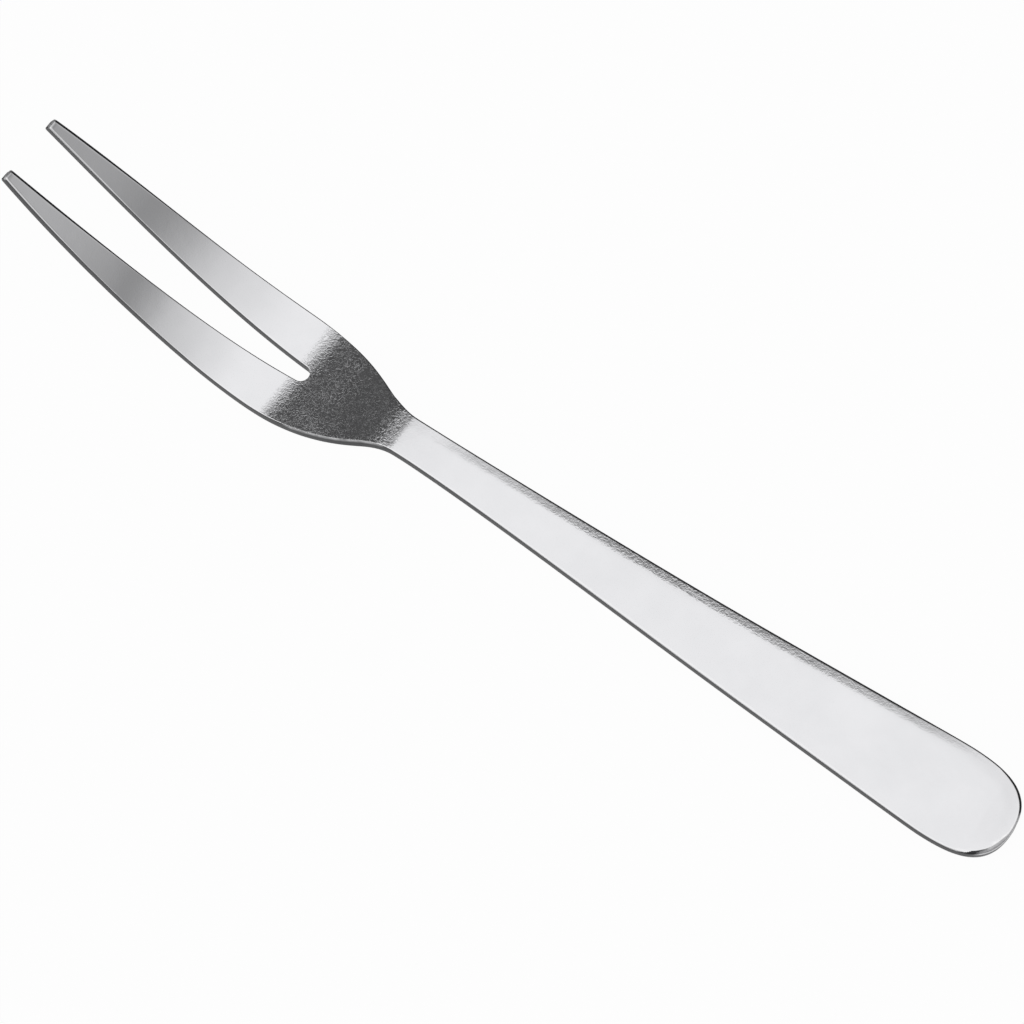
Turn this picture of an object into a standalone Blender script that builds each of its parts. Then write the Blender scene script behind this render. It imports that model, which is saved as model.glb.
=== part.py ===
"""Snail fork: one sheet of stainless steel, blanked, pressed to a soft S and left with two long tines.

The origin is at the middle of the length and the width, on the surface that the fork rests on.
+X runs to the tine tips and +Z out of the hollow side.
"""
import math

import bmesh
import bpy
import numpy as np
from mathutils.geometry import interpolate_bezier

# Outline from above, in metres: lengths along the fork.
OVERALL_LENGTH = 0.1503
HEAD_LENGTH = 0.0592  # narrowest place of the neck to the tips
SHOULDER_LENGTH = 0.0207  # narrowest place of the neck to the widest of the head
TINE_LENGTH = 0.0438  # end of the slot to the tips
WIDEST_FROM_END = 0.0095  # round end of the handle to its widest place

# Outline from above: full widths.
HANDLE_WIDTH = 0.0130
NECK_WIDTH = 0.00543
HEAD_WIDTH = 0.01526
SLOT_END_WIDTH = 0.00236
TIP_GAP = 0.0076
TIP_WIDTH = 0.00145

# How far each curve of the outline leans on its tangents.
END_BLUNTNESS = 0.0057
END_FULLNESS = 0.0051
HANDLE_LEAD = 0.0043
NECK_LEAD = 0.0193
SHOULDER_START = 0.00465
SHOULDER_FULLNESS = 0.0130
HEAD_LEAD = 0.0004
TINE_LEAD = 0.0151
TINE_TAPER = 0.153  # sideways per length, at the tips

# Side view: heights of the underside.
FLAT_LENGTH = 0.036  # of the handle that lies flat, from the round end
NECK_RISE = 0.00183
NECK_CREST_TO_TIPS = 0.0602
FALL_TO_TIPS = 0.0552  # the steepest place below the neck
FALL_HEIGHT = 0.00144
FALL_SLOPE = -0.25
HEEL_TO_TIPS = 0.0443  # where the fall has eased off
HEEL_HEIGHT = 0.00011
HEEL_SLOPE = -0.09
ROOT_TO_TIPS = 0.0419  # the lowest place of the head
TIP_RISE = 0.01645
TIP_SLOPE = 0.571
TINE_CUP = 0.04  # the tines lean this much towards the slot, sideways
CUP_START_TO_TIPS = 0.0360  # the lean grows from here
CUP_FULL_TO_TIPS = 0.0130

# Thickness of the sheet.
END_GAUGE = 0.0015
NECK_GAUGE = 0.0016
TIP_GAUGE = 0.00155
CROWN_SLOPE = 0.084  # the upper face of the handle slopes this much at its edges
CROWN_BAND = 0.0023  # over this much of its width
CROWN_RISE = (0.0, 0.005)  # the slope grows between these places from the round end
CROWN_EASE = (0.020, 0.062)  # eases off between these
CROWN_EASED = 0.75  # to this share
CROWN_FADE = (0.058, 0.098)  # and fades out between these
EDGE_RADIUS = 0.00018

# Facets: rows of each stretch, and columns from the middle of the fork or the slot to the outer edge.
CAP_ROWS = 12
HANDLE_ROWS = 24
SHOULDER_ROWS = 20
SLOT_END_ROWS = 8
TINE_ROWS = 26
HANDLE_COLUMNS = (0.0, 0.42, 0.68, 0.86, 1.0)
TINE_COLUMNS = (0.0, 0.28, 0.5, 0.72, 1.0)
EDGE_SEGMENTS = 2
CURVE_POINTS = 240

NECK_AT = OVERALL_LENGTH - HEAD_LENGTH
HEAD_AT = NECK_AT + SHOULDER_LENGTH
SLOT_END_AT = OVERALL_LENGTH - TINE_LENGTH
CREST_AT = OVERALL_LENGTH - NECK_CREST_TO_TIPS
FALL_AT = OVERALL_LENGTH - FALL_TO_TIPS
HEEL_AT = OVERALL_LENGTH - HEEL_TO_TIPS
ROOT_AT = OVERALL_LENGTH - ROOT_TO_TIPS
SLOT_END_RADIUS = SLOT_END_WIDTH / 2
TIP_OUTER = TIP_GAP / 2 + TIP_WIDTH
CUP_START_AT = OVERALL_LENGTH - CUP_START_TO_TIPS
CUP_FULL_AT = OVERALL_LENGTH - CUP_FULL_TO_TIPS


def curve_points(start, lead, trail, end):
    """Points of one Bezier stretch of the outline, from above."""
    knots = [(x, y, 0.0) for x, y in (start, lead, trail, end)]
    return np.array([point[:2] for point in interpolate_bezier(*knots, CURVE_POINTS)])


def end_outline():
    """Half of the handle's round end, from the middle line to the widest place."""
    half = HANDLE_WIDTH / 2
    return curve_points(
        (0, 0), (0, END_BLUNTNESS), (WIDEST_FROM_END - END_FULLNESS, half), (WIDEST_FROM_END, half)
    )


def side_outline():
    """The outer edge from the widest place of the handle to the tip of a tine."""
    handle, neck, head = HANDLE_WIDTH / 2, NECK_WIDTH / 2, HEAD_WIDTH / 2
    tine_start = (OVERALL_LENGTH - TINE_LEAD, TIP_OUTER + TINE_TAPER * TINE_LEAD)
    return np.concatenate([
        curve_points(
            (WIDEST_FROM_END, handle), (WIDEST_FROM_END + HANDLE_LEAD, handle),
            (NECK_AT - NECK_LEAD, neck), (NECK_AT, neck),
        ),
        curve_points(
            (NECK_AT, neck), (NECK_AT + SHOULDER_START, neck),
            (HEAD_AT - SHOULDER_FULLNESS, head), (HEAD_AT, head),
        ),
        curve_points(
            (HEAD_AT, head), (HEAD_AT + HEAD_LEAD, head),
            tine_start, (OVERALL_LENGTH, TIP_OUTER),
        ),
    ])


def outline_rows():
    """Pairs of points that face each other: on the middle line or the slot, and on the outer edge."""
    side = side_outline()

    def outer(x):
        return np.stack([x, np.interp(x, side[:, 0], side[:, 1])], axis=1)

    def middle(x):
        return np.stack([x, np.zeros_like(x)], axis=1)

    cap_picks = np.linspace(0, CURVE_POINTS - 1, CAP_ROWS, endpoint=False).round().astype(int)
    cap_outer = end_outline()[cap_picks]
    cap_inner = middle(np.linspace(WIDEST_FROM_END / 2, WIDEST_FROM_END, CAP_ROWS, endpoint=False))

    handle_x = np.linspace(WIDEST_FROM_END, NECK_AT, HANDLE_ROWS, endpoint=False)
    shoulder_x = np.linspace(NECK_AT, SLOT_END_AT, SHOULDER_ROWS, endpoint=False)

    turn = np.linspace(0, math.pi / 2, SLOT_END_ROWS, endpoint=False)
    slot_side_at = SLOT_END_AT + SLOT_END_RADIUS
    arc_inner = np.stack([slot_side_at - SLOT_END_RADIUS * np.cos(turn), SLOT_END_RADIUS * np.sin(turn)], axis=1)
    arc_outer_x = SLOT_END_AT + 2 * SLOT_END_RADIUS * turn / (math.pi / 2)

    along = np.linspace(0, 1, TINE_ROWS)
    slot_side = np.stack(
        [
            slot_side_at + (OVERALL_LENGTH - slot_side_at) * along,
            SLOT_END_RADIUS + (TIP_GAP / 2 - SLOT_END_RADIUS) * along,
        ],
        axis=1,
    )
    tine_start = SLOT_END_AT + 2 * SLOT_END_RADIUS
    tine_x = tine_start + (OVERALL_LENGTH - tine_start) * along

    inner_rail = np.concatenate([cap_inner, middle(handle_x), middle(shoulder_x), arc_inner, slot_side])
    outer_rail = np.concatenate(
        [cap_outer, outer(handle_x), outer(shoulder_x), outer(arc_outer_x), outer(tine_x)]
    )
    return inner_rail, outer_rail


def smooth_step(x, start, end):
    """0 before start, 1 after end, level at both."""
    t = np.clip((x - start) / (end - start), 0, 1)
    return t * t * (3 - 2 * t)


def underside_height(x):
    """Height of the pressed underside: flat handle, neck, root and rising tines, each with its tangents."""
    places = np.array([FLAT_LENGTH, CREST_AT, FALL_AT, HEEL_AT, ROOT_AT, OVERALL_LENGTH])
    heights = np.array([0.0, NECK_RISE, FALL_HEIGHT, HEEL_HEIGHT, 0.0, TIP_RISE])
    slopes = np.array([0.0, 0.0, FALL_SLOPE, HEEL_SLOPE, 0.0, TIP_SLOPE])
    span = np.clip(np.searchsorted(places, x) - 1, 0, len(places) - 2)
    run = places[span + 1] - places[span]
    t = np.clip((x - places[span]) / run, 0, None)
    return (
        (1 + 2 * t) * (1 - t) ** 2 * heights[span]
        + t * (1 - t) ** 2 * run * slopes[span]
        + t * t * (3 - 2 * t) * heights[span + 1]
        + t * t * (t - 1) * run * slopes[span + 1]
    )


def sheet_gauge(x, from_edge):
    """Thickness of the sheet: thickest at the neck, with the handle crowned between its edges."""
    gauge = END_GAUGE + (NECK_GAUGE - END_GAUGE) * smooth_step(x, 0, NECK_AT)
    gauge += (TIP_GAUGE - NECK_GAUGE) * smooth_step(x, NECK_AT, OVERALL_LENGTH)
    share = np.clip(from_edge / CROWN_BAND, 0, 1)
    crown = CROWN_SLOPE * CROWN_BAND * (share - share**5 / 5)
    crown *= smooth_step(x, *CROWN_RISE) * (1 - smooth_step(x, *CROWN_FADE))
    return gauge + crown * (1 - (1 - CROWN_EASED) * smooth_step(x, *CROWN_EASE))


def make_collection(name):
    """A collection of the scene, made new."""
    collection = bpy.data.collections.new(name)
    bpy.context.scene.collection.children.link(collection)
    return collection


def steel_material():
    """Bright rolled stainless steel."""
    material = bpy.data.materials.new("stainless_steel")
    material.use_nodes = True
    shader = material.node_tree.nodes["Principled BSDF"]
    shader.inputs["Base Color"].default_value = (0.74, 0.74, 0.75, 1.0)
    shader.inputs["Metallic"].default_value = 1.0
    shader.inputs["Roughness"].default_value = 0.2
    return material


def half_sheet():
    """Half of the fork's underside, open at the middle line, with the thickness at each point."""
    inner, outer = outline_rows()
    rows, columns = len(inner), len(HANDLE_COLUMNS)
    to_tine = smooth_step(inner[:, 0], NECK_AT, SLOT_END_AT)[:, None]
    shares = (1 - to_tine) * np.array(HANDLE_COLUMNS) + to_tine * np.array(TINE_COLUMNS)
    plan = inner[:, None] + shares[:, :, None] * (outer - inner)[:, None]
    from_edge = (1 - shares) * np.linalg.norm(outer - inner, axis=1)[:, None]
    gauge = sheet_gauge(plan[:, :, 0], from_edge)
    middle = (inner[:, 1] + outer[:, 1])[:, None] / 2
    lean = TINE_CUP * smooth_step(plan[:, :, 0], CUP_START_AT, CUP_FULL_AT)
    height = underside_height(plan[:, :, 0]) + lean * (plan[:, :, 1] - middle)

    sheet = bmesh.new()
    bmesh.ops.create_grid(sheet, x_segments=rows - 1, y_segments=columns - 1, size=0.5)
    gauges = []
    for vertex in sheet.verts:
        row = round((vertex.co.x + 0.5) * (rows - 1))
        column = round((vertex.co.y + 0.5) * (columns - 1))
        x, y = plan[row, column]
        vertex.co = (x - OVERALL_LENGTH / 2, y, height[row, column])
        gauges.append(float(gauge[row, column]))
    mesh = bpy.data.meshes.new("fork")
    sheet.to_mesh(mesh)
    sheet.free()
    return mesh, gauges


def make_fork(collection):
    """The fork: the half sheet mirrored, thickened upwards by its gauge, with softened edges."""
    mesh, gauges = half_sheet()
    fork = bpy.data.objects.new("fork", mesh)
    collection.objects.link(fork)
    mesh.materials.append(steel_material())

    thickest = max(gauges)
    group = fork.vertex_groups.new(name="gauge")
    for index, gauge in enumerate(gauges):
        group.add([index], gauge / thickest, "REPLACE")

    mirror = fork.modifiers.new("other half", "MIRROR")
    mirror.use_axis = (False, True, False)
    mirror.merge_threshold = 0.00001

    solidify = fork.modifiers.new("sheet", "SOLIDIFY")
    solidify.thickness = thickest
    solidify.offset = 1.0
    solidify.vertex_group = group.name
    solidify.use_even_offset = True

    bevel = fork.modifiers.new("softened edges", "BEVEL")
    bevel.width = EDGE_RADIUS
    bevel.segments = EDGE_SEGMENTS
    bevel.limit_method = "ANGLE"
    bevel.angle_limit = math.radians(50)
    bevel.use_clamp_overlap = False

    mesh.shade_smooth()
    return fork


for old in list(bpy.data.objects):
    bpy.data.objects.remove(old)
make_fork(make_collection("snail_fork"))
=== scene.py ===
"""Snail fork: the finished surface of one pressed sheet of stainless steel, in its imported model's frame.

Lengths are in metres. Along the fork they count from the round end of the handle, and the finished mesh
is moved so that the origin is at half its length, on the surface that it rests on.
"""
import logging
import math
from dataclasses import astuple, dataclass, field
from enum import Enum

import bpy
import numpy as np
from mathutils import Matrix, Vector


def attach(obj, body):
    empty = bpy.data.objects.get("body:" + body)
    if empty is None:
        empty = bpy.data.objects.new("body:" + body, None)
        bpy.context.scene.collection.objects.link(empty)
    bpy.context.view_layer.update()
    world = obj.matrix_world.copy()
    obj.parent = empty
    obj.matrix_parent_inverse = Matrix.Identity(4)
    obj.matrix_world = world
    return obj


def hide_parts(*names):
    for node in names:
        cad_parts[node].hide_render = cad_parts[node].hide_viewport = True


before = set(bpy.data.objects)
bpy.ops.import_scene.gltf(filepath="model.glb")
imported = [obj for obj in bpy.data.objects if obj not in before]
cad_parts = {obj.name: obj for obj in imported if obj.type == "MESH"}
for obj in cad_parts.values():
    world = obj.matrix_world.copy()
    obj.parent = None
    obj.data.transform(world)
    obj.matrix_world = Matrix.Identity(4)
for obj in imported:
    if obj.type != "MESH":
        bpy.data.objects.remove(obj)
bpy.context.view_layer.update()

LOG = logging.getLogger("snail_fork")
NOISE_MIDDLE = 0.5

Array = np.ndarray
Colour = tuple[float, float, float]
Span = tuple[float, float]
Stops = tuple[Span, ...]
Socket = bpy.types.NodeSocket


class Zone(Enum):
    """Where on the fork a finish lies: its number is the material slot of the mesh."""

    FACE = 0
    SHEARED_EDGE = 1


class Mask(Enum):
    """Names of the values that the mesh carries for its materials, from 0 to 1 at each point."""

    EDGE = "edge_nearness"
    FORMED = "formed_root"
    CROWN = "crown_band"
    # Patches of painted highlight: the faces' edge line is brightest there and the walls take a painted
    # reflection.
    PAINTED_HIGHLIGHT = "burnished_end"
    DEPTH = "wall_depth"


def smooth_step(x: Array, start: float, end: float) -> Array:
    """0 before start, 1 after end, and 3t^2 - 2t^3 between them, with t the share of the way."""
    t = np.clip((x - start) / (end - start), 0.0, 1.0)
    return t * t * (3.0 - 2.0 * t)


def between(x: Array, stops: Stops) -> Array:
    """Values at places along the fork, straight between the given pairs of place and value."""
    return np.interp(x, *zip(*stops))


def bezier(knots: Stops, count: int) -> Array:
    """Points of a cubic Bezier curve: the sum of its four knots weighted by the Bernstein polynomials.

    Args:
        knots: start, lead, trail and end of the curve, from above.
        count: how many points.

    Returns:
        An array of count points.
    """
    t = np.linspace(0.0, 1.0, count)[:, None]
    start, lead, trail, end = (np.array(knot) for knot in knots)
    u = 1.0 - t
    return u**3 * start + 3 * u * u * t * lead + 3 * u * t * t * trail + t**3 * end


@dataclass
class Blank:
    """The outline of the fork seen from above, before it is pressed."""

    length: float = 0.1503
    head_length: float = 0.0592
    shoulder_length: float = 0.0207
    tine_length: float = 0.0438
    widest_from_end: float = 0.0095
    handle_width: float = 0.0130
    neck_width: float = 0.00543
    head_width: float = 0.01526
    slot_end_width: float = 0.00236
    tip_gap: float = 0.0076
    tip_width: float = 0.00145
    end_bluntness: float = 0.0057
    end_fullness: float = 0.0051
    handle_lead: float = 0.0043
    neck_lead: float = 0.0193
    shoulder_start: float = 0.00465
    shoulder_fullness: float = 0.0130
    head_lead: float = 0.0004
    tine_lead: float = 0.0151
    tine_taper: float = 0.153
    tip_corner: float = 0.00022
    near_swell: float = 0.00017
    swell_rise: Span = (0.088, 0.098)
    swell_fade: Span = (0.102, 0.112)
    curve_points: int = 2400

    @property
    def neck_at(self) -> float:
        """The narrowest place of the neck."""
        return self.length - self.head_length

    @property
    def head_at(self) -> float:
        """The widest place of the head."""
        return self.neck_at + self.shoulder_length

    @property
    def slot_at(self) -> float:
        """The round end of the slot."""
        return self.length - self.tine_length

    @property
    def slot_radius(self) -> float:
        """Radius of the slot's round end."""
        return self.slot_end_width / 2

    def round_end(self) -> Array:
        """Half of the handle's round end: one Bezier curve from the middle line to the widest place.

        Returns:
            The points of the curve.
        """
        half, widest = self.handle_width / 2, self.widest_from_end
        knots = ((0.0, 0.0), (0.0, self.end_bluntness), (widest - self.end_fullness, half), (widest, half))
        return bezier(knots, self.curve_points)

    def side(self, x: Array) -> Array:
        """The outer edge: three Bezier curves, from the handle's widest place by neck and head to the tip.

        Args:
            x: places along the fork.

        Returns:
            The points of the edge at those places.
        """
        handle, neck, head = self.handle_width / 2, self.neck_width / 2, self.head_width / 2
        widest, neck_at, head_at, end = self.widest_from_end, self.neck_at, self.head_at, self.length
        tip = self.tip_gap / 2 + self.tip_width
        from_handle, to_neck = widest + self.handle_lead, neck_at - self.neck_lead
        from_neck, to_head = neck_at + self.shoulder_start, head_at - self.shoulder_fullness
        to_tip = (end - self.tine_lead, tip + self.tine_taper * self.tine_lead)
        stretches = (
            ((widest, handle), (from_handle, handle), (to_neck, neck), (neck_at, neck)),
            ((neck_at, neck), (from_neck, neck), (to_head, head), (head_at, head)),
            ((head_at, head), (head_at + self.head_lead, head), to_tip, (end, tip)),
        )
        curve = np.concatenate([bezier(knots, self.curve_points) for knots in stretches])
        return np.stack([x, np.interp(x, curve[:, 0], curve[:, 1])], axis=1)

    def swell(self, x: Array, side: float) -> Array:
        """How much fuller the shoulder at +Y is than the one at -Y: a smooth step up, then one down."""
        rise, fade = smooth_step(x, *self.swell_rise), smooth_step(x, *self.swell_fade)
        return self.near_swell * rise * (1.0 - fade) * (side > 0)


@dataclass(frozen=True)
class Knot:
    """A point of the side view: its distance to the tips, its height and its slope."""

    to_tips: float
    height: float = 0.0
    slope: float = 0.0


@dataclass
class Pressing:
    """The side view that the press gives the sheet, and its thickness."""

    flat_length: float = 0.036
    crest: Knot = Knot(0.0603, 0.00183)
    brink: Knot = Knot(0.0589, 0.001827, -0.006)
    lip: Knot = Knot(0.0584, 0.001813, -0.052)
    fall: Knot = Knot(0.0552, 0.00145, -0.25)
    heel: Knot = Knot(0.0448, 0.00011, -0.09)
    root: Knot = Knot(0.0424)
    tips: Knot = Knot(0.0, 0.01645, 0.571)
    root_skew: float = 0.09
    skew_rise: Span = (0.097, 0.103)
    skew_fade: Span = (0.112, 0.126)
    tine_cup: Span = (0.04, 0.02)
    cup_start_to_tips: float = 0.0360
    cup_full_to_tips: float = 0.0130
    end_gauge: float = 0.0015
    neck_gauge: float = 0.0016
    tip_gauge: float = 0.00155
    crown_band: Stops = ((0.024, 0.0023), (0.064, 0.0022), (0.076, 0.0020), (0.088, 0.0018))
    crown_slopes: Stops = (
        (0.0, 0.0), (0.004, 0.058), (0.016, 0.062), (0.024, 0.060), (0.034, 0.058), (0.044, 0.069),
        (0.052, 0.076), (0.058, 0.077), (0.064, 0.070), (0.070, 0.062), (0.076, 0.048), (0.082, 0.033),
        (0.088, 0.006), (0.092, 0.0),
    )

    def underside(self, x: Array, y: Array, length: float) -> tuple[Array, Array]:
        """Height and slope of the underside: cubic Hermite stretches from knot to knot.

        The root runs a little askew across the head: its places move along by the skew times the distance
        to the side.

        Args:
            x: places along the fork.
            y: places across it.
            length: the whole length.

        Returns:
            The heights and the slopes at those places.
        """
        rise, fade = smooth_step(x, *self.skew_rise), smooth_step(x, *self.skew_fade)
        x = x - self.root_skew * y * rise * (1.0 - fade)
        flat = Knot(length - self.flat_length)
        knots = (flat, self.crest, self.brink, self.lip, self.fall, self.heel, self.root, self.tips)
        places, heights, slopes = np.array([astuple(knot) for knot in knots]).T
        places = length - places
        span = np.clip(np.searchsorted(places, x) - 1, 0, len(places) - 2)
        run, rise = np.diff(places)[span], np.diff(heights)[span]
        first, last = slopes[span], slopes[span + 1]
        t = np.clip((x - places[span]) / run, 0.0, None)
        height = heights[span] + (3 - 2 * t) * t * t * rise
        height = height + run * t * (1 - t) * ((1 - t) * first - t * last)
        slope = 6 * t * (1 - t) * rise / run + (1 - t) * (1 - 3 * t) * first + t * (3 * t - 2) * last
        return height, slope

    def gauge(self, x: Array, blank: Blank) -> Array:
        """Thickness of the sheet: smooth steps from the round end to the neck and from there to the tips.

        Args:
            x: places along the fork.
            blank: the outline, for where the neck is.

        Returns:
            The thickness at those places.
        """
        to_neck = (self.neck_gauge - self.end_gauge) * smooth_step(x, 0.0, blank.neck_at)
        to_tips = (self.tip_gauge - self.neck_gauge) * smooth_step(x, blank.neck_at, blank.length)
        return self.end_gauge + to_neck + to_tips

    def crown_height(self, x: Array, from_outer: Array) -> Array:
        """How far the crowned upper face stands above its edge, with a slope that eases off as 1 - u^4.

        Args:
            x: places along the fork.
            from_outer: distances from the outer edge.

        Returns:
            The height: slope times band times u - u^5/5, with u the distance as a share of the band.
        """
        band = between(x, self.crown_band)
        u = np.clip(from_outer / band, 0.0, 1.0)
        return band * between(x, self.crown_slopes) * (u - u**5 / 5)


@dataclass
class SheetGrid:
    """Half of the flat blank as a grid of rows from the middle line or slot to the outer edge.

    Attributes:
        plan: points of the grid from above, rows by columns by two.
        from_outer: distance to the outer edge.
        from_slot: distance to the slot.
        from_tip: distance to the cut end of the tine.
        slot_row: the first row that starts on the slot.
    """

    plan: Array
    from_outer: Array
    from_slot: Array
    from_tip: Array
    slot_row: int


@dataclass
class ForkBlade:
    """The fork: one sheet, blanked, pressed and tumbled, with its sheared edges softened."""

    blank: Blank = field(default_factory=Blank)
    pressing: Pressing = field(default_factory=Pressing)
    edge_radius: float = 0.00018
    edge_drop: float = 0.42
    near_reach: Stops = (
        (0.0, 0.00035), (0.0001, 0.00060), (0.0004, 0.00070), (0.0015, 0.00070), (0.0055, 0.00020),
        (0.012, 0.00018), (0.020, 0.00030), (0.064, 0.00028), (0.076, 0.00022), (0.088, 0.00018),
        (0.093, 0.00010), (0.108, 0.00010), (0.112, 0.00014), (0.120, 0.00010), (0.137, 0.00008),
        (0.142, 0.00024), (0.148, 0.00032),
    )
    far_reach: Stops = (
        (0.0, 0.00035), (0.0015, 0.00050), (0.0055, 0.00020), (0.012, 0.00018), (0.020, 0.00030),
        (0.064, 0.00028), (0.076, 0.00022), (0.088, 0.00018), (0.094, 0.00020), (0.104, 0.00020),
        (0.1058, 0.00010), (0.1072, 0.00010), (0.112, 0.00018), (0.128, 0.00020), (0.138, 0.00036),
        (0.144, 0.00050),
    )
    tip_reach: float = 0.0004
    cap_rows: int = 48
    handle_rows: int = 150
    shoulder_rows: int = 70
    approach_rows: int = 10
    arc_rows: int = 20
    tine_rows: int = 150
    corner_rows: int = 9
    edge_columns: int = 11
    far_columns: int = 8
    outer_columns: Stops = (
        (0.0905, 1.0), (0.094, 8.0), (0.104, 8.0), (0.110, 1.0), (0.118, 4.0), (0.130, 6.0),
        (0.138, 4.0), (0.144, 3.0),
    )
    slot_columns: Stops = ((0.110, 1.0), (0.118, 4.0), (0.134, 4.0), (0.141, 1.0))
    rim_rows: tuple[int, int] = (22, 31)
    edge_support: float = 1.25
    least_sine: float = 0.5
    wide_share: float = 0.25
    face_columns: int = 15
    weld_steps: float = 1e8
    approach_length: float = 0.0016
    # Width and fade of the painted highlight line just inside the edges.
    sheen_share: float = 0.8
    sheen_reach: float = 0.00005
    sheen_fade: float = 2.0
    formed: Stops = (
        (0.0914, 0.0), (0.0919, 0.4), (0.0928, 0.65), (0.0940, 0.65), (0.0954, 0.45), (0.1042, 0.3),
        (0.1060, 0.4), (0.1070, 0.45), (0.1082, 0.2), (0.1092, 0.0),
    )
    stipple: Stops = (
        (0.014, 0.0), (0.024, 0.35), (0.034, 0.5), (0.044, 1.0), (0.062, 1.0), (0.070, 0.4),
        (0.078, 0.15), (0.086, 0.0),
    )
    near_stipple: float = 0.25
    band_edge: float = 0.76
    band_slope: float = 5.0
    # Patches of painted highlight and painted reflection: at the round end, at the cut ends of the tips
    # and on the shoulder at +Y.
    highlight_centre: Span = (0.0006, 0.0012)
    highlight_fade: Span = (0.0008, 0.0069)
    highlight_slant: float = 0.0016
    tip_highlight: Span = (0.0002, 0.0006)
    tip_share: float = 0.53
    shoulder_highlight: Stops = ((0.0905, 0.0), (0.0940, 0.58), (0.098, 0.54), (0.104, 0.5), (0.108, 0.0))

    def reach(self, x: Array, facing: float) -> Array:
        """How far in from an edge that faces +Y or -Y its rounding reaches."""
        return between(x, self.near_reach if facing > 0 else self.far_reach)

    def reaches(self, grid: SheetGrid, side: float) -> tuple[Array, Array]:
        """The reach of the rounding in each row of half the fork, at its outer edge and at the slot."""
        return self.reach(grid.plan[:, -1:, 0], side), self.reach(grid.plan[:, :1, 0], -side)

    def edge_steps(self, reach: Array) -> Array:
        """Distances from the edge by row: reach times 1 - cos of equal angles, and one step beyond."""
        turns = 1.0 - np.cos(np.linspace(0.0, math.pi / 2, self.edge_columns))
        return reach[:, None] * np.append(turns, self.edge_support)

    def rails(self) -> tuple[Array, Array, int]:
        """Two rails that face each other, row by row.

        The outer rail follows the outline. The inner rail follows the middle line, then a quarter circle
        round the end of the slot, then the straight side of the slot. At the tip both rails turn in by a
        quarter circle, which rounds the corners of the cut end.

        Returns:
            The inner rail, the outer rail, and the row where the slot starts.
        """
        b = self.blank
        radius, slot_side = b.slot_radius, b.slot_at + b.slot_radius

        def middle(x: Array) -> Array:
            """Points on the middle line."""
            return np.stack([x, np.zeros_like(x)], axis=1)

        def stretch(start: float, end: float, count: int) -> Array:
            """Even places from start up to but without end."""
            return np.linspace(start, end, count, endpoint=False)

        picks = stretch(0, b.curve_points - 1, self.cap_rows).round().astype(int)
        cap_inner = middle(stretch(b.widest_from_end / 2, b.widest_from_end, self.cap_rows))
        handle_x = stretch(b.widest_from_end, b.neck_at, self.handle_rows)
        shoulder_x = stretch(b.neck_at, b.slot_at - self.approach_length, self.shoulder_rows)
        near = np.linspace(1.0, 0.0, self.approach_rows, endpoint=False)
        approach_outer = b.slot_at - self.approach_length * near
        approach_inner = b.slot_at - self.approach_length * near**2

        turn = stretch(0.0, math.pi / 2, self.arc_rows)
        arc_inner = np.stack([slot_side - radius * np.cos(turn), radius * np.sin(turn)], axis=1)
        arc_outer = b.slot_at + 2 * radius * turn / (math.pi / 2)

        corner = np.linspace(0.0, math.pi / 2, self.corner_rows)
        corner_x = b.length - b.tip_corner * (1.0 - np.sin(corner))
        tine_end = b.length - b.tip_corner
        inner_x = np.concatenate([stretch(slot_side, tine_end, self.tine_rows), corner_x])
        tine_outer = np.concatenate([stretch(b.slot_at + 2 * radius, tine_end, self.tine_rows), corner_x])
        turn_in = np.concatenate([np.zeros(self.tine_rows), b.tip_corner * (1.0 - np.cos(corner))])
        spread = (inner_x - slot_side) / (b.length - slot_side)
        slot_inner = np.stack([inner_x, radius + (b.tip_gap / 2 - radius) * spread + turn_in], axis=1)

        on_middle = (cap_inner, middle(handle_x), middle(shoulder_x), middle(approach_inner))
        inner = np.concatenate([*on_middle, arc_inner, slot_inner])
        outer_x = np.concatenate([handle_x, shoulder_x, approach_outer, arc_outer, tine_outer])
        side = b.side(outer_x)
        side[-len(turn_in):, 1] -= turn_in
        outer = np.concatenate([b.round_end()[picks], side])
        slot_row = self.cap_rows + self.handle_rows + self.shoulder_rows + self.approach_rows
        return inner, outer, slot_row

    def grid(self, side: float) -> SheetGrid:
        """Columns between the rails: close at the edges, where they carry the rounding, and even between.

        A column's place in its row is a distance from either end. At the outer edge and along the slot it
        is an edge step over the sine of the angle between row and edge. Round the end of the slot it is
        where a straight row leaves the circle by an edge step. On the handle the inner columns spread out.

        Args:
            side: 1 for the half at +Y and -1 for the half at -Y, which the grid gives as its mirror image.

        Returns:
            The grid with the distances from its edges.
        """
        b = self.blank
        inner, outer, slot_row = self.rails()
        steps = self.edge_steps(self.reach(inner[:, 0], -side))
        rim_steps = self.edge_steps(self.reach(outer[:, 0], side))
        reach = np.linalg.norm(outer - inner, axis=1)
        across = (outer - inner) / reach[:, None]

        def squareness(rail: Array) -> Array:
            """Sine of the angle between each row and the rail it ends on."""
            dx, dy = np.gradient(rail, axis=0).T
            return np.abs(across[:, 0] * dy - across[:, 1] * dx) / np.hypot(dx, dy)

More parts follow.
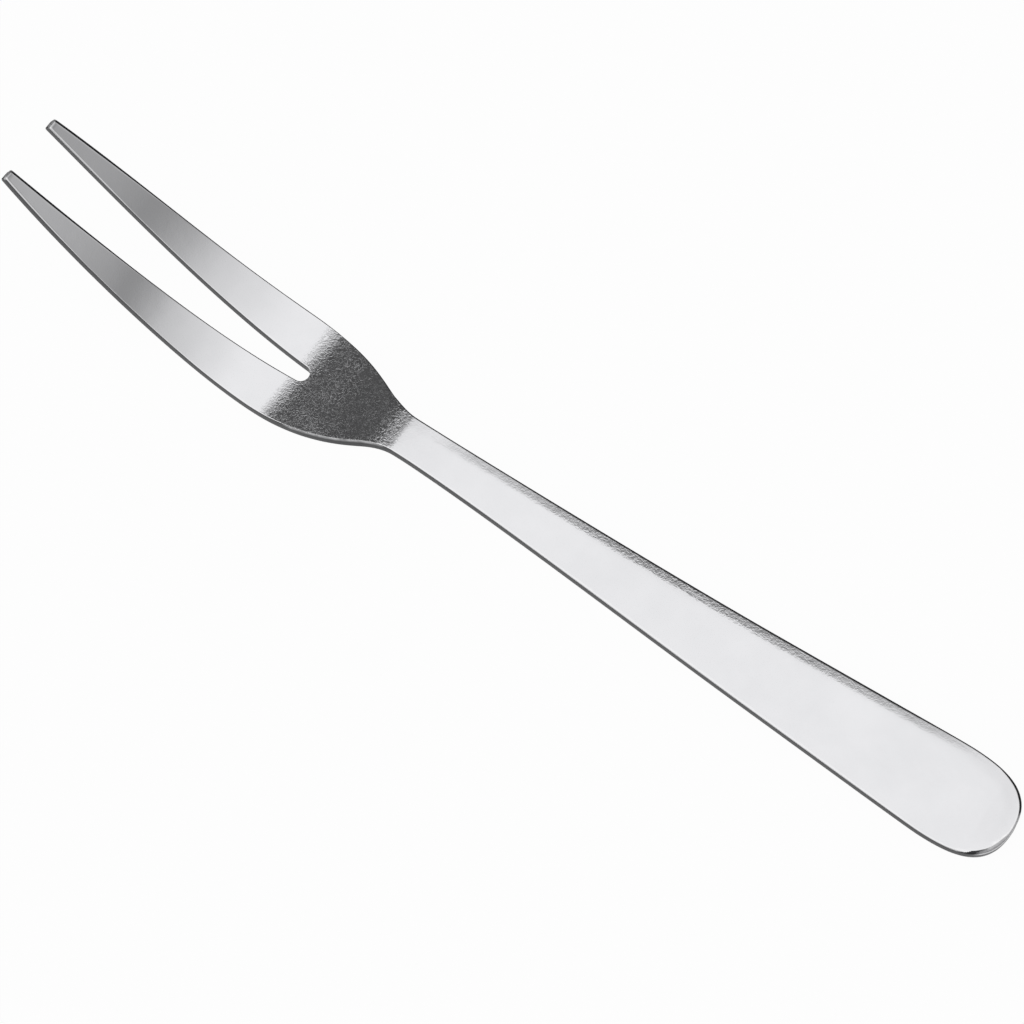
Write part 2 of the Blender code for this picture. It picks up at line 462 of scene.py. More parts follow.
        outer_sine = squareness(outer)
        centre = np.array([b.slot_at + b.slot_radius, 0.0])
        leaving = ((inner - centre) * across).sum(axis=1)[:, None]
        circle_steps = np.sqrt(leaving**2 + 2 * b.slot_radius * steps + steps**2) - leaving
        side_steps = steps / np.clip(squareness(inner), self.least_sine, 1.0)[:, None]
        wide_steps = self.wide_share * reach[:, None] * np.linspace(0.0, 1.0, steps.shape[1])
        to_slot = smooth_step(inner[:, :1], b.neck_at, b.slot_at)
        on_side = (inner[:, :1] > centre[0]).astype(float)
        before = np.arange(len(inner))[:, None] < slot_row
        apex_steps = np.sqrt(2 * b.slot_radius * steps + steps**2)
        inner_steps = np.where(before, (1 - to_slot) * wide_steps + to_slot * apex_steps, circle_steps)
        inner_steps = (1 - on_side) * inner_steps + on_side * side_steps
        rim_steps /= np.clip(outer_sine, self.least_sine, 1.0)[:, None]
        outer_steps = reach[:, None] - rim_steps[:, ::-1]

        even = np.linspace(0.0, 1.0, self.face_columns + 2)[1:-1]
        face_steps = inner_steps[:, -1:] + (outer_steps[:, :1] - inner_steps[:, -1:]) * even
        along = np.concatenate([inner_steps, face_steps, outer_steps], axis=1)
        plan = inner[:, None] + along[:, :, None] * across[:, None]

        from_outer = (reach[:, None] - along) * outer_sine[:, None]
        round_end = np.hypot(plan[:, :, 0] - centre[0], plan[:, :, 1]) - b.slot_radius
        from_slot = np.where(on_side > 0, along * squareness(inner)[:, None], round_end)
        from_outer, from_slot = np.clip(from_outer, 0.0, None), np.clip(from_slot, 0.0, None)
        return SheetGrid(plan, from_outer, from_slot, b.length - plan[:, :, 0], slot_row)

    @staticmethod
    def rounding(distance: Array, reach: Array | float, drop: float = 1.0) -> Array:
        """Fall of a quarter ellipse of reach r at d from its edge: drop * (r - sqrt(r^2 - (r - d)^2))."""
        within = np.clip(reach - distance, 0.0, reach)
        return drop * (reach - np.sqrt(reach**2 - within**2))

    def surfaces(self, grid: SheetGrid, side: float) -> tuple[Array, Array]:
        """The upper face and the underside as grids of points in space.

        Each point of the blank is lifted to the pressed underside and then moved along the normal of the
        sheet: by the rounding of the edge for the underside, and by the gauge and the crown less the
        rounding for the upper face. The tines lean by their cup, and the swell grows as the square of the
        distance from the middle line.

        Args:
            grid: the flat blank.
            side: 1 for the half at +Y and -1 for the half at -Y.

        Returns:
            The points of the upper face and of the underside.
        """
        b, p = self.blank, self.pressing
        x, y = grid.plan[:, :, 0], grid.plan[:, :, 1]
        height, slope = p.underside(x, y * side, b.length)
        centre = (y[:, :1] + y[:, -1:]) / 2
        cup = p.tine_cup[0 if side > 0 else 1]
        lean = cup * smooth_step(x, b.length - p.cup_start_to_tips, b.length - p.cup_full_to_tips)
        height = height + lean * (y - centre)
        normal = np.stack([-slope, -lean, np.ones_like(x)], axis=-1)
        normal /= np.linalg.norm(normal, axis=-1, keepdims=True)
        normal *= (1.0, side, 1.0)
        y = y + b.swell(x, side) * (y / np.maximum(y[:, -1:], b.neck_width / 2)) ** 2
        base = np.stack([x - b.length / 2, y * side, height], axis=-1)

        outer_reach, slot_reach = self.reaches(grid, side)
        at_outer = self.rounding(grid.from_outer, outer_reach, self.edge_drop)
        at_slot = self.rounding(grid.from_slot, slot_reach, self.edge_drop)
        under_side = self.rounding(np.minimum(grid.from_outer, grid.from_slot), self.edge_radius)
        at_tip = self.rounding(grid.from_tip, self.tip_reach, self.edge_drop)
        upper_fall = np.hypot(np.maximum(at_outer, at_slot), at_tip)
        under_fall = np.hypot(under_side, self.rounding(grid.from_tip, self.edge_radius))
        rise = p.gauge(x, b) + p.crown_height(x, grid.from_outer) - upper_fall
        return base + normal * rise[..., None], base + normal * under_fall[..., None]

    def masks(self, grid: SheetGrid, side: float, under: bool) -> dict[Mask, Array]:
        """Values for the materials: edges, root, crowned band, patches of painted highlight and depth of
        the wall.

        The painted highlight patch of the round end fades along a slant: sooner at the top of the wall
        than below.

        Args:
            grid: the flat blank.
            side: 1 for the half at +Y and -1 for the half at -Y.
            under: whether the values are for the underside.

        Returns:
            Each mask as a grid of values from 0 to 1.
        """
        x, y = grid.plan[:, :, 0], grid.plan[:, :, 1] * side
        outer_reach, slot_reach = self.reaches(grid, side)
        outer_line = self.sheen_share * outer_reach + self.sheen_reach
        slot_line = self.sheen_share * slot_reach + self.sheen_reach
        nearest = np.minimum(grid.from_outer / outer_line, grid.from_slot / slot_line)
        band = self.band_edge - grid.from_outer / between(x, self.pressing.crown_band)
        band = between(x, self.stipple) * np.clip(self.band_slope * band, 0.0, 1.0)
        from_patch = np.hypot(x - self.highlight_centre[0], y - self.highlight_centre[1])
        up_the_wall = np.clip(grid.from_outer / outer_reach, 0.0, 1.0) - float(under)
        from_patch = from_patch + self.highlight_slant * up_the_wall
        patch = 1 - smooth_step(from_patch, *self.highlight_fade)
        painted_patch = np.maximum(patch, self.tip_share * (1 - smooth_step(grid.from_tip, *self.tip_highlight)))
        shoulder = between(x, self.shoulder_highlight) * (side > 0)
        return {
            Mask.EDGE: np.clip(1 - nearest / self.sheen_fade, 0.0, 1.0),
            Mask.FORMED: between(x, self.formed),
            Mask.CROWN: band * (self.near_stipple if side > 0 else 1.0),
            Mask.PAINTED_HIGHLIGHT: np.maximum(painted_patch, shoulder),
            Mask.DEPTH: np.full_like(x, float(under)),
        }

    @staticmethod
    def strip(first: Array, second: Array) -> Array:
        """Quads between two lines of point numbers, turning from the first line to the second."""
        return np.stack([first[:-1], first[1:], second[1:], second[:-1]], axis=-1).reshape(-1, 4)

    def quads(self, grid: SheetGrid, side: float) -> tuple[Array, Array]:
        """Quads of half the fork: both faces, then the outer wall, the slot's wall and the cut end.

        The steep columns of the rounding belong to the sheared edge: a fixed number of them at walls that
        face -Y and on the rim of the round end, and a number that goes by the place along the fork at
        walls that face +Y. So do the rounded corners of the tips.

        Args:
            grid: the flat blank.
            side: 1 for the half at +Y and -1 for the half at -Y.

        Returns:
            The corner numbers of the quads and the material slot of each.
        """
        (rows, columns), slot_row = grid.from_tip.shape, grid.slot_row
        upper = np.arange(rows * columns).reshape(rows, columns)
        under = upper + rows * columns
        corners = (upper[:-1, :-1], upper[1:, :-1], upper[1:, 1:], upper[:-1, 1:])
        face = np.stack(corners, axis=-1).reshape(-1, 4)
        walls = np.concatenate([
            self.strip(upper[:, -1], under[:, -1]),
            self.strip(upper[slot_row:, 0][::-1], under[slot_row:, 0][::-1]),
            self.strip(upper[-1, ::-1], under[-1, ::-1]),
        ])
        # Columns given to the sheared edge take its near-black painted shade, so their number sets how far
        # the painted dark line reaches onto the rounding.
        rim = np.interp(np.arange(rows - 1), self.rim_rows, (self.far_columns, 0.0))
        at_outer = at_slot = np.full(rows - 1, self.far_columns)
        if side > 0:
            at_outer = np.maximum(between(grid.plan[:-1, -1, 0], self.outer_columns), rim).round()
        else:
            at_slot = between(grid.plan[:-1, 0, 0], self.slot_columns).round()
        zone = np.full((rows - 1, columns - 1), Zone.FACE.value)
        column = np.arange(columns - 1)
        zone[column[::-1] < at_outer[:, None]] = Zone.SHEARED_EDGE.value
        zone[slot_row:][column < at_slot[slot_row:, None]] = Zone.SHEARED_EDGE.value
        zone[1 - self.corner_rows:] = Zone.SHEARED_EDGE.value
        zones = np.concatenate([zone.ravel(), zone.ravel(), np.full(len(walls), Zone.SHEARED_EDGE.value)])
        quads = np.concatenate([face, face[:, ::-1] + rows * columns, walls])
        return (quads, zones) if side > 0 else (quads[:, ::-1] + 2 * rows * columns, zones)

    def mesh(self) -> bpy.types.Mesh:
        """The whole fork: half of it and its mirror image across the middle line, welded where they meet.

        Returns:
            A closed mesh with its masks as attributes.
        """
        grids = {side: self.grid(side) for side in (1.0, -1.0)}
        sheets = [sheet for side, grid in grids.items() for sheet in self.surfaces(grid, side)]
        points = np.concatenate([sheet.reshape(-1, 3) for sheet in sheets])
        halves = [self.quads(grid, side) for side, grid in grids.items()]
        quads, zones = (np.concatenate(both) for both in zip(*halves))

        keys = np.round(points * self.weld_steps).astype(np.int64)
        _, kept, numbers = np.unique(keys, axis=0, return_index=True, return_inverse=True)
        mesh = bpy.data.meshes.new("fork_blade")
        mesh.from_pydata(points[kept].tolist(), [], numbers.reshape(-1)[quads].tolist())
        mesh.polygons.foreach_set("material_index", zones.astype(np.int32))
        mesh.polygons.foreach_set("use_smooth", np.ones(len(quads), dtype=bool))
        shades = [self.masks(grid, side, under) for side, grid in grids.items() for under in (False, True)]
        for mask in Mask:
            values = np.concatenate([shade[mask].ravel() for shade in shades])
            attribute = mesh.attributes.new(mask.value, "FLOAT", "POINT")
            attribute.data.foreach_set("value", values[kept].astype(np.float32))
        mesh.update()
        return mesh

    def build(self) -> bpy.types.Object:
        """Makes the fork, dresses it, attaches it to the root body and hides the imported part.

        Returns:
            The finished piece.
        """
        mesh = self.mesh()
        piece = bpy.data.objects.new("fork_blade", mesh)
        bpy.context.scene.collection.objects.link(piece)
        self.dress(mesh)
        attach(piece, "root")
        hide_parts("fork")
        return piece

    @staticmethod
    def dress(mesh: bpy.types.Mesh) -> None:
        """Gives the mesh its two finishes, in the order of their zones.

        Args:
            mesh: the fork.
        """
        effects = Effects()
        mesh.materials.append(RolledFace().material(effects))
        mesh.materials.append(ShearedEdge().material(effects))


@dataclass(frozen=True)
class Noise:
    """A noise: its scale as a share of its effect's, its octaves, their roughness and its distortion."""

    scale: float
    detail: float
    roughness: float = 0.5
    distortion: float = 0.0


class NodePen:
    """Writes shader nodes and links into one node tree."""

    def __init__(self, tree: bpy.types.NodeTree) -> None:
        """Takes the tree that is written to."""
        self.tree = tree

    def fill(self, node: bpy.types.Node, inputs: dict) -> None:
        """Links or sets inputs of a node.

        Args:
            node: the node.
            inputs: values or output sockets for its inputs, by name or number.
        """
        for key, value in inputs.items():
            if isinstance(value, Socket):
                self.tree.links.new(value, node.inputs[key])
            else:
                node.inputs[key].default_value = value

    def node(self, kind: str, inputs: dict | None = None, **settings: object) -> bpy.types.Node:
        """Adds a node.

        Args:
            kind: Blender's name of the node type.
            inputs: values or output sockets for its inputs, by name or number.
            settings: properties of the node.

        Returns:
            The node.
        """
        made = self.tree.nodes.new(kind)
        for name, value in settings.items():
            setattr(made, name, value)
        self.fill(made, inputs or {})
        return made

    def math(self, operation: str, *values: object) -> Socket:
        """Adds a Math node and gives its output."""
        return self.node("ShaderNodeMath", dict(enumerate(values)), operation=operation).outputs[0]

    def weighted(self, start: object, *terms: tuple[Socket, float]) -> object:
        """Adds values times their weights to a start.

        Args:
            start: a value or an output socket.
            terms: pairs of an output socket and its weight.

        Returns:
            The sum.
        """
        for value, weight in terms:
            start = self.math("MULTIPLY_ADD", value, weight, start)
        return start

    def remap(self, value: Socket, source: Span, target: Span) -> Socket:
        """Adds a clamped Map Range node from the source range to the target range and gives its output."""
        limits = {1: source[0], 2: source[1], 3: target[0], 4: target[1]}
        return self.node("ShaderNodeMapRange", {0: value, **limits}, clamp=True).outputs[0]

    def blend(self, share: Socket, first: Colour | Socket, second: Colour | Socket) -> Socket:
        """Adds a colour Mix node and gives its output: first where share is 0, second where it is 1."""
        ends = [end if isinstance(end, Socket) else (*end, 1.0) for end in (first, second)]
        return self.node("ShaderNodeMix", {0: share, 6: ends[0], 7: ends[1]}, data_type="RGBA").outputs[2]

    def ramp(self, value: Socket, stops: Stops) -> Socket:
        """Adds a ramp of greys from its first stop to its last.

        Args:
            value: what the ramp reads.
            stops: pairs of value and grey level.

        Returns:
            The grey level.
        """
        first, last = stops[0][0], stops[-1][0]
        made = self.node("ShaderNodeValToRGB", {0: self.remap(value, (first, last), (0.0, 1.0))})
        elements = made.color_ramp.elements
        while len(elements) < len(stops):
            elements.new(0.5)
        for element, (place, grey) in zip(elements, stops):
            element.position = (place - first) / (last - first)
            element.color = (grey, grey, grey, 1.0)
        return made.outputs[0]

    def noise(self, vector: Socket, scale: Socket | float, kind: Noise) -> Socket:
        """Adds a Noise node.

        Args:
            vector: where it is read.
            scale: the scale of its effect.
            kind: its settings.

        Returns:
            Its value.
        """
        shape = {"Detail": kind.detail, "Roughness": kind.roughness, "Distortion": kind.distortion}
        scaled = self.math("MULTIPLY", scale, kind.scale)
        return self.node("ShaderNodeTexNoise", {"Vector": vector, "Scale": scaled, **shape}).outputs["Fac"]

    def crossing(self, noise: Socket, width: float) -> Socket:
        """1 where a noise crosses its middle, falling to 0 at the given width to either side."""
        off = self.math("ABSOLUTE", self.math("SUBTRACT", noise, NOISE_MIDDLE))
        return self.remap(off, (0.0, width), (1.0, 0.0))

    def effect(self, tree: bpy.types.NodeTree, **inputs: object) -> dict[str, Socket]:
        """Adds a node group that reads the place on the piece.

        Args:
            tree: the group.
            inputs: values or output sockets for its other inputs.

        Returns:
            Its outputs by name.
        """
        place = self.node("ShaderNodeTexCoord").outputs["Object"]
        made = self.node("ShaderNodeGroup", {"Vector": place, **inputs}, node_tree=tree)
        return {socket.name: socket for socket in made.outputs}

    def mask(self, which: Mask) -> Socket:
        """A value that the mesh carries."""
        return self.node("ShaderNodeAttribute", attribute_name=which.value).outputs["Fac"]

    def metal(self, colour: Socket, rough: Socket, height: Socket, depth: float) -> None:
        """Dresses the material's shader as metal.

        Args:
            colour: its colour.
            rough: its roughness.
            height: its relief, from 0 up.
            depth: how deep a relief of 1 is.
        """
        bump = self.node("ShaderNodeBump", {"Strength": 1.0, "Distance": depth, "Height": height})
        look = {"Base Color": colour, "Roughness": rough, "Metallic": 1.0, "Normal": bump.outputs[0]}
        self.fill(self.tree.nodes["Principled BSDF"], look)


def new_material(name: str) -> tuple[bpy.types.Material, NodePen]:
    """A new material with nodes.

    Args:
        name: its name.

    Returns:
        The material and the pen that writes its nodes.
    """
    made = bpy.data.materials.new(name)
    made.use_nodes = True
    return made, NodePen(made.node_tree)


@dataclass
class Effects:
    """The surface effects that both finishes use, each a node group that is built once."""

    peel: Noise = Noise(1.0, 1.0, distortion=0.6)
    fine: Noise = Noise(2.3, 1.0, distortion=0.6)
    pits: Noise = Noise(1.0, 1.0, distortion=1.2)
    clumps: Noise = Noise(0.62, 2.0, distortion=0.6)
    swell: Noise = Noise(0.22, 1.0)
    mottle: Noise = Noise(0.07, 3.0, 0.6)
    drawn: Noise = Noise(1.0, 2.0, 0.6)
    patches: Noise = Noise(1.0, 3.0, 0.65)
    ridge_width: float = 0.16
    ridge_share: float = 0.75
    pit_width: float = 0.065
    middling: Span = (0.3, 0.7)
    wander: float = 0.8
    sheen_limits: Span = (0.35, 0.65)
    vectors: tuple[str, ...] = ("Vector", "Stretch")

    def __post_init__(self) -> None:
        """Builds the groups."""
        self.grain = self.tumbled_grain()
        self.lines = self.fine_lines()
        self.sheen_group = self.painted_edge_sheen()

    def group(
        self, name: str, inputs: tuple[str, ...], outputs: tuple[str, ...]
    ) -> tuple[NodePen, dict[str, Socket], bpy.types.Node]:
        """A new node group.

        Args:
            name: its name.
            inputs: names of its inputs, which are values or vectors.
            outputs: names of its outputs, which are all values.

        Returns:
            The pen that writes it, what it is given by name, and its output node.
        """
        tree = bpy.data.node_groups.new(name, "ShaderNodeTree")
        for socket in inputs:
            kind = "NodeSocketVector" if socket in self.vectors else "NodeSocketFloat"
            tree.interface.new_socket(socket, in_out="INPUT", socket_type=kind)
        for socket in outputs:
            tree.interface.new_socket(socket, in_out="OUTPUT", socket_type="NodeSocketFloat")
        pen = NodePen(tree)
        given, result = pen.node("NodeGroupInput"), pen.node("NodeGroupOutput")
        return pen, {socket: given.outputs[socket] for socket in inputs}, result

    def tumbled_grain(self) -> bpy.types.NodeTree:
        """Orange peel of a tumbled sheet: ridges where a noise crosses its middle, over a finer noise.

        Returns:
            A group with the height of the peel, clumps, crooked pits, a swell and a mottle, from 0 to 1.
        """
        outputs = ("Height", "Clumps", "Pits", "Swell", "Mottle")
        pen, given, result = self.group("tumbled_grain", ("Vector", "Scale"), outputs)

        def noise(kind: Noise) -> Socket:
            """A noise at the scale that the group is given."""
            return pen.noise(given["Vector"], given["Scale"], kind)

        ridge = pen.math("MULTIPLY", pen.crossing(noise(self.peel), self.ridge_width), self.ridge_share)
        pen.fill(result, {
            "Height": pen.weighted(ridge, (noise(self.fine), 1.0 - self.ridge_share)),
            "Clumps": noise(self.clumps),
            "Pits": pen.crossing(noise(self.pits), self.pit_width),
            "Swell": noise(self.swell),
            "Mottle": pen.remap(noise(self.mottle), self.middling, (0.0, 1.0)),
        })
        return pen.tree

    def fine_lines(self) -> bpy.types.NodeTree:
        """Fine parallel lines: a noise drawn out along one axis by the given stretch.

        Returns:
            A group with the depth of the lines, from 0 to 1.
        """
        pen, given, result = self.group("fine_lines", ("Vector", "Stretch"), ("Depth",))
        drawn = {0: given["Vector"], 1: given["Stretch"]}
        vector = pen.node("ShaderNodeVectorMath", drawn, operation="MULTIPLY").outputs[0]
        depth = pen.remap(pen.noise(vector, 1.0, self.drawn), self.middling, (0.0, 1.0))
        pen.fill(result, {"Depth": depth})
        return pen.tree

    def painted_edge_sheen(self) -> bpy.types.NodeTree:
        """Painted highlight along an edge: its nearness, broken up by a noise.

        Returns:
            A group with the share of painted highlight, from 0 to 1.
        """
        pen, given, result = self.group("painted_edge_sheen", ("Vector", "Nearness", "Scale"), ("Sheen",))
        patch = pen.noise(given["Vector"], given["Scale"], self.patches)
        painted_sheen = pen.weighted(given["Nearness"], (pen.math("SUBTRACT", patch, NOISE_MIDDLE), self.wander))
        pen.fill(result, {"Sheen": pen.remap(painted_sheen, self.sheen_limits, (0.0, 1.0))})
        return pen.tree


@dataclass(frozen=True)
class RolledFace:
    """Bright rolled and tumbled steel: clean where it is flat, finely pitted where it was pressed."""

    name: str = "rolled_steel_face"
    bright: Colour = (0.770, 0.770, 0.786)
    dull: Colour = (0.735, 0.736, 0.752)
    # Painted highlight: a lighter line just inside the edges, brighter still on the highlight patches.
    painted_sheen: Colour = (0.810, 0.810, 0.822)
    rim: Colour = (0.950, 0.950, 0.955)
    polish: float = 0.05
    mottle_roughness: float = 0.015
    sheen_roughness: float = 0.06
    pit_roughness: float = 0.24
    pit_onset: float = 0.15
    pit_shares: Span = (0.6, 1.2)
    stipple: float = 0.25
    clumps: float = 0.55
    swell: float = 0.28
    line_depth: float = 0.02
    flat_grain: float = 0.04
    grain_depth: float = 0.000012
    grain_scale: float = 2250.0
    sheen_scale: float = 900.0
    line_stretch: tuple[float, float, float] = (260.0, 9000.0, 9000.0)

    def material(self, effects: Effects) -> bpy.types.Material:
        """Builds the material.

        Args:
            effects: the shared node groups.

        Returns:
            The material of the two faces.
        """
        made, pen = new_material(self.name)
        formed, crowned, edge = pen.mask(Mask.FORMED), pen.mask(Mask.CROWN), pen.mask(Mask.EDGE)
        grain = pen.effect(effects.grain, Scale=self.grain_scale)
        lines = pen.effect(effects.lines, Stretch=self.line_stretch)
        painted_sheen = pen.effect(effects.sheen_group, Nearness=edge, Scale=self.sheen_scale)["Sheen"]
        mottle = grain["Mottle"]

        # Painted highlight along the edges; the same share also makes the face a little rougher there.
        line = pen.blend(pen.mask(Mask.PAINTED_HIGHLIGHT), self.painted_sheen, self.rim)
        colour = pen.blend(painted_sheen, pen.blend(mottle, self.bright, self.dull), line)
        pits = pen.math("MULTIPLY", grain["Pits"], pen.remap(mottle, (0.0, 1.0), self.pit_shares))
        pit_roughness = pen.remap(formed, (0.0, self.pit_onset), (0.0, self.pit_roughness))
        pitted = pen.math("MULTIPLY", pits, pit_roughness)
        shine = ((pitted, 1.0), (mottle, self.mottle_roughness), (painted_sheen, self.sheen_roughness))
        rough = pen.weighted(self.polish, *shine)

        pressed = pen.math("MAXIMUM", formed, pen.math("MULTIPLY", crowned, self.stipple))
        depth = pen.weighted(self.flat_grain, (pressed, 1.0 - self.flat_grain))
        height = pen.math("MULTIPLY", grain["Height"], depth)
        clumps = pen.math("MULTIPLY", crowned, grain["Clumps"])
        waves = ((clumps, self.clumps), (grain["Swell"], self.swell), (lines["Depth"], self.line_depth))
        pen.metal(colour, rough, pen.weighted(height, *waves), self.grain_depth)
        return made


@dataclass(frozen=True)
class ShearedEdge:
    """The cut wall of the sheet: rough steel with the marks of the shear, painted near black as painted
    shade, with a lighter painted reflection on the highlight patches.
    """

    name: str = "sheared_steel_edge"
    # Near black: painted shade for the dark reflections on the cut walls; between the two, the shear marks
    # vary.
    cut: Colour = (0.035, 0.035, 0.037)
    torn: Colour = (0.069, 0.069, 0.072)
    # Painted reflection: on the highlight patches the top of the wall is lighter, as the reflected pale
    # floor; painted shadow: lower down it turns dark, as the reflected contact shadow, by the given share
    # of the wall's depth.
    painted_floor_reflection: Colour = (0.660, 0.660, 0.672)
    painted_contact_shadow: Colour = (0.070, 0.070, 0.073)
    painted_shadow_depth: float = 0.4
    polish: float = 0.34
    line_roughness: float = 0.12
    grain_share: float = 0.5
    mark_depth: float = 0.000005
    grain_scale: float = 3600.0
    sheen_scale: float = 420.0
    line_stretch: tuple[float, float, float] = (420.0, 5200.0, 5200.0)

    def material(self, effects: Effects) -> bpy.types.Material:
        """Builds the material.

        Args:
            effects: the shared node groups.

        Returns:
            The material of the cut walls.
        """
        made, pen = new_material(self.name)
        highlight_patch = pen.mask(Mask.PAINTED_HIGHLIGHT)
        grain = pen.effect(effects.grain, Scale=self.grain_scale)
        lines = pen.effect(effects.lines, Stretch=self.line_stretch)["Depth"]
        painted_sheen = pen.effect(effects.sheen_group, Nearness=highlight_patch, Scale=self.sheen_scale)["Sheen"]

        # Painted floor reflection at the top of the wall, painted contact shadow lower down.
        below = pen.remap(pen.mask(Mask.DEPTH), (0.0, self.painted_shadow_depth), (0.0, 1.0))
        painted_patch = pen.blend(below, self.painted_floor_reflection, self.painted_contact_shadow)
        # Painted shade near black on the walls, with the painted reflection on the highlight patches.
        colour = pen.blend(painted_sheen, pen.blend(lines, self.cut, self.torn), painted_patch)
        rough = pen.weighted(self.polish, (lines, self.line_roughness))
        height = pen.weighted(lines, (grain["Height"], self.grain_share))
        pen.metal(colour, rough, height, self.mark_depth)
        return made


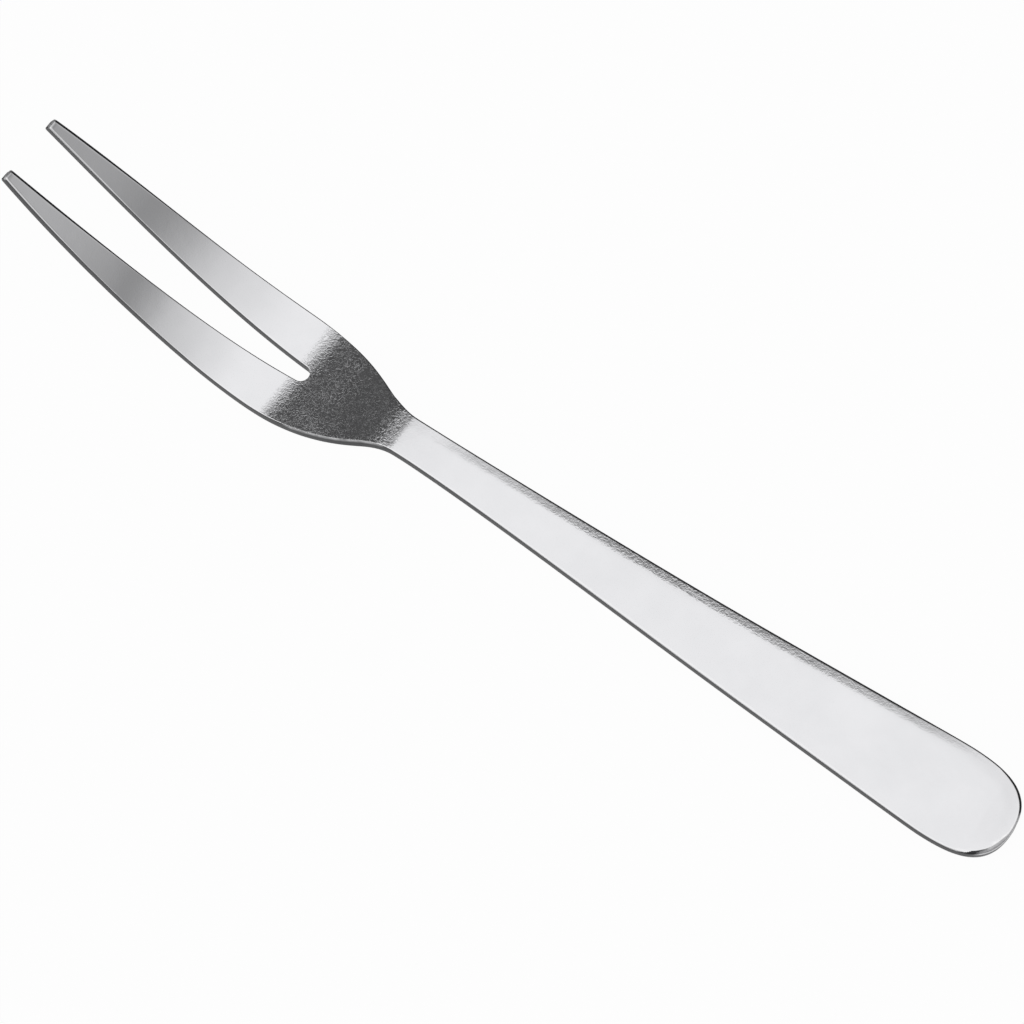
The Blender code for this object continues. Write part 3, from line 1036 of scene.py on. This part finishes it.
@dataclass
class Studio:
    """A pale floor under a soft dome, and the camera.

    The dome is white overhead and grey towards the horizon. It darkens beyond the far edge of the light
    and falls off to the right, as seen from the camera. Its levels are read from a direction's run per
    rise, away from the camera and to the right.
    """

    azimuth: float = 215.036
    elevation: float = 66.878
    distance: float = 0.434288
    aim_right: float = 0.000543
    aim_up: float = -0.000119
    lens: float = 120.0
    sensor: float = 36.0
    nearest: float = 0.01
    floor_size: float = 6.0
    floor_gap: float = 0.00003
    floor_colour: Colour = (0.97, 0.97, 0.97)
    floor_glow: float = 0.96
    level: float = 1.065
    below: float = 0.9
    least_rise: float = 0.03
    near_side: Stops = ((-2.0, 0.50), (-1.0, 0.52), (-0.6, 0.85), (-0.4, 1.0))
    far_edge: Stops = (
        (0.445, 1.0), (0.455, 1.0), (0.464, 0.965), (0.474, 0.71), (0.485, 0.55), (0.497, 0.42),
        (0.515, 0.29), (0.54, 0.17), (0.58, 0.095), (0.64, 0.07),
    )
    beyond: Stops = ((1.1, 0.08), (1.5, 0.28), (2.2, 0.52), (3.0, 0.64), (4.0, 0.70))
    right: Stops = (
        (-1.5, 0.85), (-1.0, 0.95), (-0.6, 1.0), (0.12, 1.0), (0.175, 0.98), (0.245, 0.935),
        (0.31, 0.88), (0.373, 0.833), (0.433, 0.773), (0.49, 0.735), (0.54, 0.67), (0.57, 0.61),
        (0.61, 0.50), (0.65, 0.42), (0.69, 0.34), (0.725, 0.315), (0.755, 0.37), (0.80, 0.41),
        (0.83, 0.44), (0.86, 0.49), (0.90, 0.52), (1.5, 0.56),
    )

    def axes(self) -> tuple[Vector, Vector, Vector]:
        """The camera's directions from its azimuth and elevation.

        Returns:
            Right, up and back.
        """
        a, e = math.radians(self.azimuth), math.radians(self.elevation)
        back = Vector((math.sin(a) * math.cos(e), -math.cos(a) * math.cos(e), math.sin(e)))
        right = Vector((math.cos(a), math.sin(a), 0.0))
        return right, back.cross(right), back

    def camera(self) -> bpy.types.Object:
        """Makes the camera of the scene at the viewing angle of the photograph.

        Returns:
            The camera.
        """
        right, up, back = self.axes()
        data = bpy.data.cameras.new("camera")
        data.lens, data.sensor_width = self.lens, self.sensor
        data.clip_start = self.nearest
        made = bpy.data.objects.new("camera", data)
        turn = Matrix((right, up, back)).transposed().to_4x4()
        aim = right * self.aim_right + up * self.aim_up
        made.matrix_world = Matrix.Translation(aim + back * self.distance) @ turn
        bpy.context.scene.collection.objects.link(made)
        bpy.context.scene.camera = made
        return made

    def floor(self) -> bpy.types.Object:
        """Makes the floor: one square, a little below the fork.

        It glows white for rays from the camera, from a mirror or through glass, and is clear from below.

        Returns:
            The floor.
        """
        half = self.floor_size / 2
        corners = np.array([(-1, -1), (1, -1), (1, 1), (-1, 1)]) * half
        points = np.column_stack([corners, np.full(4, -self.floor_gap)])
        mesh = bpy.data.meshes.new("floor")
        mesh.from_pydata(points.tolist(), [], [(0, 1, 2, 3)])
        made = bpy.data.objects.new("floor", mesh)
        bpy.context.scene.collection.objects.link(made)

        material, pen = new_material("pale_floor")
        pen.tree.nodes.clear()
        matt = pen.node("ShaderNodeBsdfDiffuse", {"Color": (*self.floor_colour, 1.0)})
        glow = pen.node("ShaderNodeEmission", {"Strength": 1.0})
        rays = pen.node("ShaderNodeLightPath").outputs
        seen = pen.math("MAXIMUM", rays["Is Camera Ray"], rays["Is Glossy Ray"])
        seen = pen.math("MAXIMUM", seen, rays["Is Transmission Ray"])
        share = pen.math("MULTIPLY", seen, self.floor_glow)
        mixed = pen.node("ShaderNodeMixShader", {0: share, 1: matt.outputs[0], 2: glow.outputs[0]})
        clear = pen.node("ShaderNodeBsdfTransparent")
        behind = pen.node("ShaderNodeNewGeometry").outputs["Backfacing"]
        both = pen.node("ShaderNodeMixShader", {0: behind, 1: mixed.outputs[0], 2: clear.outputs[0]})
        pen.node("ShaderNodeOutputMaterial", {"Surface": both.outputs[0]})
        mesh.materials.append(material)
        return made

    def dome(self) -> bpy.types.World:
        """Lights the scene with a soft dome and shows plain white behind the floor.

        Returns:
            The world.
        """
        world = bpy.data.worlds.new("studio")
        world.use_nodes = True
        pen = NodePen(world.node_tree)
        pen.tree.nodes.clear()
        right, _, back = self.axes()
        away = -Vector((back.x, back.y, 0.0)).normalized()
        direction = pen.node("ShaderNodeTexCoord").outputs["Generated"]
        height = pen.node("ShaderNodeSeparateXYZ", {0: direction}).outputs["Z"]
        rise = pen.math("MAXIMUM", height, self.least_rise)

        def run_per_rise(axis: Vector) -> Socket:
            """How far a direction runs along an axis for each unit that it rises."""
            run = pen.node("ShaderNodeVectorMath", {0: direction, 1: axis}, operation="DOT_PRODUCT")
            return pen.math("DIVIDE", run.outputs["Value"], rise)

        run = run_per_rise(away)
        grey = pen.math("MULTIPLY", pen.ramp(run, self.near_side), pen.ramp(run, self.far_edge))
        grey = pen.math("MAXIMUM", grey, pen.ramp(run, self.beyond))
        grey = pen.math("MULTIPLY", grey, pen.ramp(run_per_rise(right), self.right))
        above = pen.math("GREATER_THAN", height, 0.0)
        grey = pen.node("ShaderNodeMix", {0: above, 2: self.below, 3: grey}, data_type="FLOAT").outputs[0]
        dome = pen.node("ShaderNodeBackground", {"Color": grey, "Strength": self.level})
        plain = pen.node("ShaderNodeBackground", {"Color": (1.0, 1.0, 1.0, 1.0), "Strength": 1.0})
        camera_ray = pen.node("ShaderNodeLightPath").outputs["Is Camera Ray"]
        mixed = pen.node("ShaderNodeMixShader", {0: camera_ray, 1: dome.outputs[0], 2: plain.outputs[0]})
        pen.node("ShaderNodeOutputWorld", {"Surface": mixed.outputs[0]})
        bpy.context.scene.world = world
        return world


def main() -> None:
    """Builds the camera, the fork, the floor and the dome, and reports each."""
    logging.basicConfig(level=logging.INFO, format="%(message)s")
    bpy.context.scene.view_settings.view_transform = "Standard"
    studio = Studio()
    studio.camera()
    piece = ForkBlade().build()
    LOG.info("%s: %d faces", piece.name, len(piece.data.polygons))
    LOG.info("%s: stage", studio.floor().name)
    LOG.info("%s: soft dome", studio.dome().name)


if __name__ == "__main__":
    main()
